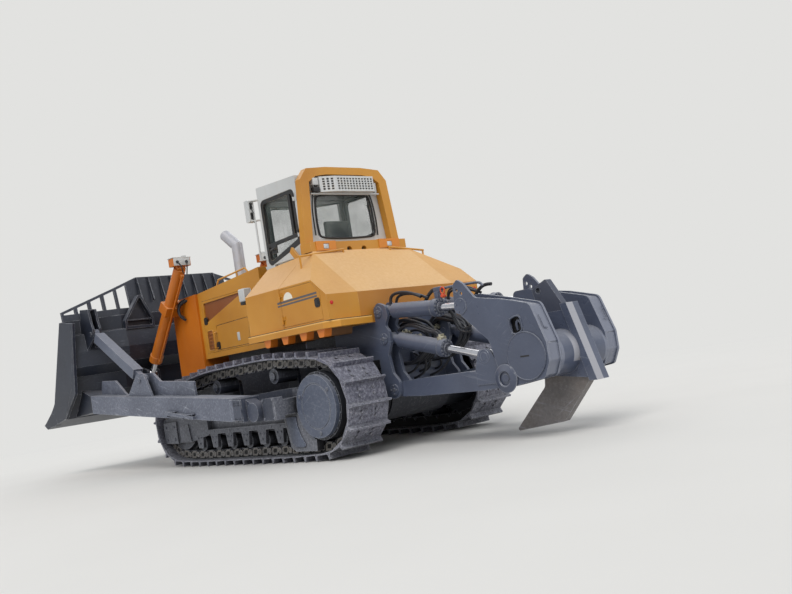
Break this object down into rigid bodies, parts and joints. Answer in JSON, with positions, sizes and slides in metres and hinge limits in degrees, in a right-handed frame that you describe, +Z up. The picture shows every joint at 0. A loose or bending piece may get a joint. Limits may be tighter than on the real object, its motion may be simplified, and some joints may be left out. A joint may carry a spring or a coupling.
{
  "type": "crawler bulldozer with ripper",
  "caption": "Large crawler bulldozer: semi-U blade on push arms and lift cylinders, cab inside a roll-over frame, grouser tracks and a parallelogram ripper with one shank.",
  "frame": {"origin": "on the ground plane under the middle of the overall bounding box", "axes": "+X forward towards the blade, +Y the machine's left, +Z up"},
  "size_m": [9.81, 3.944, 3.695],
  "materials": {
    "yellow_paint": "yellow machine enamel under pale dust",
    "orange_paint": "deeper orange enamel",
    "white_paint": "off-white enamel",
    "dark_steel_paint": "blue-grey steel enamel, worn and dusty",
    "worn_iron": "bare iron, dusty, polished where it rubs",
    "chrome_steel": "bright chrome",
    "cab_glass": "tinted safety glass",
    "seat_trim": "black seat trim"
  },
  "bodies": {
    "chassis": {"main_frame": "dark_steel_paint", "rear_frame": "dark_steel_paint", "track_frames": "dark_steel_paint", "idlers": "worn_iron", "final_drives": "dark_steel_paint", "track_left": "worn_iron", "track_right": "worn_iron", "fuel_tank": "yellow_paint", "side_cabinet_left": "yellow_paint", "side_cabinet_right": "yellow_paint", "engine_hood": "yellow_paint", "engine_block": "worn_iron", "radiator_guard": "orange_paint", "front_grille": "dark_steel_paint", "exhaust_stack": "chrome_steel", "cab_shell": "white_paint", "cab_glass": "cab_glass", "operator_seat": "seat_trim", "rops_frame": "yellow_paint", "ac_unit": "white_paint", "corner_lamps": "white_paint", "handrails": "yellow_paint"},
    "blade_group": {"blade": "dark_steel_paint", "spill_guard": "dark_steel_paint", "push_arms": "dark_steel_paint", "blade_braces": "dark_steel_paint"},
    "ripper_arm": {"ripper_arm": "dark_steel_paint"},
    "ripper_beam": {"ripper_beam": "dark_steel_paint", "ripper_shank": "worn_iron"},
    "blade_lift_barrel_left": {"blade_lift_barrel_left": "orange_paint"},
    "blade_lift_rod_left": {"blade_lift_rod_left": "chrome_steel"},
    "ripper_tilt_barrel_left": {"ripper_tilt_barrel_left": "dark_steel_paint"},
    "ripper_tilt_rod_left": {"ripper_tilt_rod_left": "chrome_steel"},
    "ripper_lift_barrel_left": {"ripper_lift_barrel_left": "dark_steel_paint"},
    "ripper_lift_rod_left": {"ripper_lift_rod_left": "chrome_steel"},
    "service_door_left": {"service_door_left": "yellow_paint"},
    "engine_door_left": {"engine_door_left": "yellow_paint"},
    "cab_door_left": {"cab_door_left": "white_paint", "cab_door_glass_left": "cab_glass"},
    "blade_lift_barrel_right": {"blade_lift_barrel_right": "orange_paint"},
    "blade_lift_rod_right": {"blade_lift_rod_right": "chrome_steel"},
    "ripper_tilt_barrel_right": {"ripper_tilt_barrel_right": "dark_steel_paint"},
    "ripper_tilt_rod_right": {"ripper_tilt_rod_right": "chrome_steel"},
    "ripper_lift_barrel_right": {"ripper_lift_barrel_right": "dark_steel_paint"},
    "ripper_lift_rod_right": {"ripper_lift_rod_right": "chrome_steel"},
    "service_door_right": {"service_door_right": "yellow_paint"},
    "engine_door_right": {"engine_door_right": "yellow_paint"},
    "cab_door_right": {"cab_door_right": "white_paint", "cab_door_glass_right": "cab_glass"}
  },
  "joints": [
    {"name": "blade_lift", "type": "hinge", "parent": "chassis", "child": "blade_group", "pos_m": [-1.005, 0, 0.69], "axis": [0, -1, 0], "range_deg": [-11.4, 2.4]},
    {"name": "ripper_lift", "type": "hinge", "parent": "chassis", "child": "ripper_arm", "pos_m": [-2.375, 0, 0.7], "axis": [0, 1, 0], "range_deg": [-16, 28]},
    {"name": "ripper_pitch", "type": "hinge", "parent": "ripper_arm", "child": "ripper_beam", "pos_m": [-4.145, 0, 0.68], "axis": [0, 1, 0], "range_deg": [-28.1, 16.1]},
    {"name": "blade_lift_barrel_left", "type": "hinge", "parent": "chassis", "child": "blade_lift_barrel_left", "pos_m": [2.345, 0.8, 2.375], "axis": [0, -1, 0], "range_deg": [-16.02, 3.53]},
    {"name": "blade_lift_rod_left", "type": "slide", "parent": "blade_lift_barrel_left", "child": "blade_lift_rod_left", "axis": [0.6648, 0, -0.747], "range_m": [-0.1589, 0.7399]},
    {"name": "ripper_tilt_barrel_left", "type": "hinge", "parent": "chassis", "child": "ripper_tilt_barrel_left", "pos_m": [-2.295, 0.51, 1.65], "axis": [0, 1, 0], "range_deg": [-21.03, 36.65]},
    {"name": "ripper_tilt_rod_left", "type": "slide", "parent": "ripper_tilt_barrel_left", "child": "ripper_tilt_rod_left", "axis": [-0.9955, 0, -0.0952], "range_m": [-0.0395, 0.0243]},
    {"name": "ripper_lift_barrel_left", "type": "hinge", "parent": "chassis", "child": "ripper_lift_barrel_left", "pos_m": [-2.325, 0.51, 1.32], "axis": [0, 1, 0], "range_deg": [-14.95, 26.02]},
    {"name": "ripper_lift_rod_left", "type": "slide", "parent": "ripper_lift_barrel_left", "child": "ripper_lift_rod_left", "axis": [-0.9701, 0, -0.2425], "range_m": [-0.299, 0.1725]},
    {"name": "cab_door_left", "type": "hinge", "parent": "chassis", "child": "cab_door_left", "pos_m": [-1.1725, 0.766, 3.1], "axis": [0, 0, 1], "range_deg": [0, 85]},
    {"name": "engine_door_left", "type": "hinge", "parent": "chassis", "child": "engine_door_left", "pos_m": [0.4675, 0.616, 1.98], "axis": [0, 0, 1], "range_deg": [0, 95]},
    {"name": "service_door_left", "type": "hinge", "parent": "chassis", "child": "service_door_left", "pos_m": [-1.3125, 1.316, 1.885], "axis": [0, 0, -1], "range_deg": [0, 95]},
    {"name": "blade_lift_barrel_right", "type": "hinge", "parent": "chassis", "child": "blade_lift_barrel_right", "pos_m": [2.345, -0.8, 2.375], "axis": [0, -1, 0], "range_deg": [-16.02, 3.53]},
    {"name": "blade_lift_rod_right", "type": "slide", "parent": "blade_lift_barrel_right", "child": "blade_lift_rod_right", "axis": [0.6648, 0, -0.747], "range_m": [-0.1589, 0.7399]},
    {"name": "ripper_tilt_barrel_right", "type": "hinge", "parent": "chassis", "child": "ripper_tilt_barrel_right", "pos_m": [-2.295, -0.51, 1.65], "axis": [0, 1, 0], "range_deg": [-21.03, 36.65]},
    {"name": "ripper_tilt_rod_right", "type": "slide", "parent": "ripper_tilt_barrel_right", "child": "ripper_tilt_rod_right", "axis": [-0.9955, 0, -0.0952], "range_m": [-0.0395, 0.0243]},
    {"name": "ripper_lift_barrel_right", "type": "hinge", "parent": "chassis", "child": "ripper_lift_barrel_right", "pos_m": [-2.325, -0.51, 1.32], "axis": [0, 1, 0], "range_deg": [-14.95, 26.02]},
    {"name": "ripper_lift_rod_right", "type": "slide", "parent": "ripper_lift_barrel_right", "child": "ripper_lift_rod_right", "axis": [-0.9701, 0, -0.2425], "range_m": [-0.299, 0.1725]},
    {"name": "cab_door_right", "type": "hinge", "parent": "chassis", "child": "cab_door_right", "pos_m": [-1.1725, -0.766, 3.1], "axis": [0, 0, -1], "range_deg": [0, 85]},
    {"name": "engine_door_right", "type": "hinge", "parent": "chassis", "child": "engine_door_right", "pos_m": [0.4675, -0.616, 1.98], "axis": [0, 0, -1], "range_deg": [0, 95]},
    {"name": "service_door_right", "type": "hinge", "parent": "chassis", "child": "service_door_right", "pos_m": [-1.3125, -1.316, 1.885], "axis": [0, 0, 1], "range_deg": [0, 95]}
  ],
  "couplings": [
    {"joint": "ripper_pitch", "follows": "ripper_lift", "ratio": -1},
    {"joint": "blade_lift_barrel_left", "follows": "blade_lift", "ratio": 1.3873},
    {"joint": "blade_lift_rod_left", "follows": "blade_lift", "m_per_rad": -3.6986},
    {"joint": "ripper_tilt_barrel_left", "follows": "ripper_lift", "ratio": 1.3016},
    {"joint": "ripper_tilt_rod_left", "follows": "ripper_lift", "m_per_rad": -0.07259},
    {"joint": "ripper_lift_barrel_left", "follows": "ripper_lift", "ratio": 0.92214},
    {"joint": "ripper_lift_rod_left", "follows": "ripper_lift", "m_per_rad": -0.60357},
    {"joint": "blade_lift_barrel_right", "follows": "blade_lift", "ratio": 1.3873},
    {"joint": "blade_lift_rod_right", "follows": "blade_lift", "m_per_rad": -3.6986},
    {"joint": "ripper_tilt_barrel_right", "follows": "ripper_lift", "ratio": 1.3016},
    {"joint": "ripper_tilt_rod_right", "follows": "ripper_lift", "m_per_rad": -0.07259},
    {"joint": "ripper_lift_barrel_right", "follows": "ripper_lift", "ratio": 0.92214},
    {"joint": "ripper_lift_rod_right", "follows": "ripper_lift", "m_per_rad": -0.60357}
  ]
}
